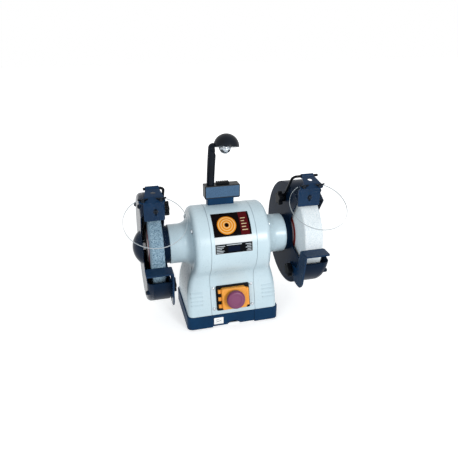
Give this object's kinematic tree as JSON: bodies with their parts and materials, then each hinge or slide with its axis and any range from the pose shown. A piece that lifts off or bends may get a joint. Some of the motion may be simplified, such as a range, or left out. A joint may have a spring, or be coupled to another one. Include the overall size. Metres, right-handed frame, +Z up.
{
  "type": "bench grinder",
  "caption": "Bench grinder with guarded wheels, eye shields, tool rests, spark arresters, a switch under a hinged stop flap, and a swivelling work lamp on top.",
  "frame": {"origin": "on the bench under the middle of the four feet", "axes": "X along the spindle to the operator's right, Y away from the operator, Z up"},
  "size_m": [0.4384, 0.2772, 0.406],
  "materials": {
    "navy_moulding": "satin moulded",
    "zinc_sheet": "zinc plated",
    "black_rubber": "matte",
    "pale_paint": "semi-gloss pale blue-grey paint",
    "zinc_screws": "zinc plated",
    "laminated_steel": "stacked laminations",
    "copper_wire": "enamelled",
    "bearing_steel": "ground",
    "capacitor_case": "smooth",
    "terminal_plastic": "smooth",
    "black_plastic": "fine grain",
    "label_film": "printed film",
    "plate_print": "printed plate",
    "lamp_blue": "coarse grain",
    "start_green": "gloss",
    "stop_red": "gloss",
    "flap_orange": "gloss",
    "mushroom_red": "satin",
    "navy_paint": "semi-gloss navy paint",
    "turned_steel": "turned",
    "grey_abrasive": "vitrified grit",
    "white_abrasive": "vitrified grit",
    "blotter_paper": "matte paper",
    "black_rubber_sleeve": "satin",
    "lamp_black": "satin",
    "bulb_mirror": "mirrored glass",
    "black_steel": "black finish",
    "clear_lens": "clear"
  },
  "bodies": {
    "housing": {"base_tray": "navy_moulding", "base_plate": "zinc_sheet", "rubber_feet": "black_rubber", "motor_shell": "pale_paint", "left_end_shell": "pale_paint", "right_end_shell": "pale_paint", "tie_bolts": "zinc_screws", "stator_core": "laminated_steel", "stator_windings": "copper_wire", "bearing_outer_rings": "bearing_steel", "capacitor": "capacitor_case", "capacitor_clip": "zinc_sheet", "terminal_block": "terminal_plastic", "cable_gland": "black_plastic", "front_label": "label_film", "rating_plate": "plate_print", "housing_screws": "zinc_screws", "lamp_bracket": "navy_moulding", "lamp_box": "lamp_blue", "switch_bezel": "black_plastic", "switch_body": "black_plastic", "left_guard": "navy_paint", "left_guard_cover": "navy_paint", "right_guard": "navy_paint", "right_guard_cover": "navy_paint", "clamp_studs": "zinc_screws"},
    "rotor": {"shaft": "turned_steel", "rotor_core": "laminated_steel", "left_wheel": "grey_abrasive", "right_wheel": "white_abrasive", "wheel_flanges": "turned_steel", "wheel_blotters": "blotter_paper", "wheel_nuts": "turned_steel", "bearing_inner_rings": "bearing_steel"},
    "ball_cages": {"bearing_balls": "bearing_steel"},
    "left_shield_arm": {"left_shield_rod": "black_steel"},
    "left_shield": {"left_shield_bracket": "navy_paint", "left_shield_lens": "clear_lens", "left_shield_screws": "zinc_screws"},
    "left_shield_knob": {"left_shield_knob": "black_plastic"},
    "left_rest_knob": {"left_rest_knob": "black_plastic"},
    "left_spark_arrester": {"left_spark_arrester": "navy_paint"},
    "left_tool_rest": {"left_tool_rest": "navy_paint"},
    "right_shield_arm": {"right_shield_rod": "black_steel"},
    "right_shield": {"right_shield_bracket": "navy_paint", "right_shield_lens": "clear_lens", "right_shield_screws": "zinc_screws"},
    "right_shield_knob": {"right_shield_knob": "black_plastic"},
    "right_rest_knob": {"right_rest_knob": "black_plastic"},
    "right_spark_arrester": {"right_spark_arrester": "navy_paint"},
    "right_tool_rest": {"right_tool_rest": "navy_paint"},
    "lamp_stalk": {"lamp_arm": "black_rubber_sleeve"},
    "lamp_head": {"lamp_shade": "lamp_black", "lamp_bulb": "bulb_mirror"},
    "lamp_slider": {"lamp_switch": "black_plastic"},
    "flap": {"switch_flap": "flap_orange"},
    "mushroom": {"stop_mushroom": "mushroom_red"},
    "start_key": {"start_button": "start_green"},
    "stop_key": {"stop_button": "stop_red"}
  },
  "joints": [
    {"name": "rotor_spin", "type": "hinge", "parent": "housing", "child": "rotor", "pos_m": [0, 0, 0.18], "axis": [1, 0, 0], "continuous": true},
    {"name": "ball_cage_roll", "type": "hinge", "parent": "housing", "child": "ball_cages", "pos_m": [0, 0, 0.18], "axis": [1, 0, 0], "continuous": true},
    {"name": "left_shield_arm_swing", "type": "hinge", "parent": "housing", "child": "left_shield_arm", "pos_m": [-0.134, 0.00999, 0.258], "axis": [-1, 0, 0], "range_deg": [0, 30]},
    {"name": "left_shield_tilt", "type": "hinge", "parent": "left_shield_arm", "child": "left_shield", "pos_m": [-0.1607, -0.038, 0.32], "axis": [-1, 0, 0], "range_deg": [0, 70]},
    {"name": "left_shield_knob_turn", "type": "hinge", "parent": "housing", "child": "left_shield_knob", "pos_m": [-0.124, 0.00999, 0.258], "axis": [1, 0, 0], "range_deg": [-180, 180]},
    {"name": "left_rest_knob_turn", "type": "hinge", "parent": "housing", "child": "left_rest_knob", "pos_m": [-0.127, -0.06, 0.116], "axis": [1, 0, 0], "range_deg": [-180, 180]},
    {"name": "left_spark_arrester_slide", "type": "slide", "parent": "housing", "child": "left_spark_arrester", "axis": [0, 0, 1], "range_m": [-0.002, 0.004]},
    {"name": "left_tool_rest_slide", "type": "slide", "parent": "housing", "child": "left_tool_rest", "axis": [0, -1, 0], "range_m": [-0.001, 0.012]},
    {"name": "right_shield_arm_swing", "type": "hinge", "parent": "housing", "child": "right_shield_arm", "pos_m": [0.134, 0.00999, 0.258], "axis": [-1, 0, 0], "range_deg": [0, 30]},
    {"name": "right_shield_tilt", "type": "hinge", "parent": "right_shield_arm", "child": "right_shield", "pos_m": [0.1607, -0.038, 0.32], "axis": [-1, 0, 0], "range_deg": [0, 70]},
    {"name": "right_shield_knob_turn", "type": "hinge", "parent": "housing", "child": "right_shield_knob", "pos_m": [0.124, 0.00999, 0.258], "axis": [1, 0, 0], "range_deg": [-180, 180]},
    {"name": "right_rest_knob_turn", "type": "hinge", "parent": "housing", "child": "right_rest_knob", "pos_m": [0.127, -0.06, 0.116], "axis": [1, 0, 0], "range_deg": [-180, 180]},
    {"name": "right_spark_arrester_slide", "type": "slide", "parent": "housing", "child": "right_spark_arrester", "axis": [0, 0, 1], "range_m": [-0.002, 0.004]},
    {"name": "right_tool_rest_slide", "type": "slide", "parent": "housing", "child": "right_tool_rest", "axis": [0, -1, 0], "range_m": [-0.001, 0.012]},
    {"name": "lamp_swivel", "type": "hinge", "parent": "housing", "child": "lamp_stalk", "pos_m": [-0.0292, 0.0145, 0.3], "axis": [0, 0, 1], "range_deg": [-60, 60]},
    {"name": "lamp_head_tilt", "type": "hinge", "parent": "lamp_stalk", "child": "lamp_head", "pos_m": [-0.0215, 0.0145, 0.383], "axis": [1, 0, 0], "range_deg": [-25, 25]},
    {"name": "lamp_switch_slide", "type": "slide", "parent": "housing", "child": "lamp_slider", "axis": [1, 0, 0], "range_m": [-0.004, 0.004]},
    {"name": "flap_hinge", "type": "hinge", "parent": "housing", "child": "flap", "pos_m": [-0.0305, -0.068, 0.06971], "axis": [0, -0.2588, -0.9659], "range_deg": [0, 110]},
    {"name": "mushroom_press", "type": "slide", "parent": "flap", "child": "mushroom", "axis": [0, 0.9659, -0.2588], "range_m": [0, 0.004], "stiffness_N_per_m": 400, "springref_m": -0.003},
    {"name": "start_press", "type": "slide", "parent": "housing", "child": "start_key", "axis": [0, 0.9659, -0.2588], "range_m": [0, 0.004], "stiffness_N_per_m": 300, "springref_m": -0.002},
    {"name": "stop_press", "type": "slide", "parent": "housing", "child": "stop_key", "axis": [0, 0.9659, -0.2588], "range_m": [0, 0.004], "stiffness_N_per_m": 300, "springref_m": -0.002}
  ],
  "couplings": [
    {"joint": "ball_cage_roll", "follows": "rotor_spin", "ratio": 0.3815},
    {"joint": "stop_press", "follows": "mushroom_press", "ratio": 1}
  ]
}
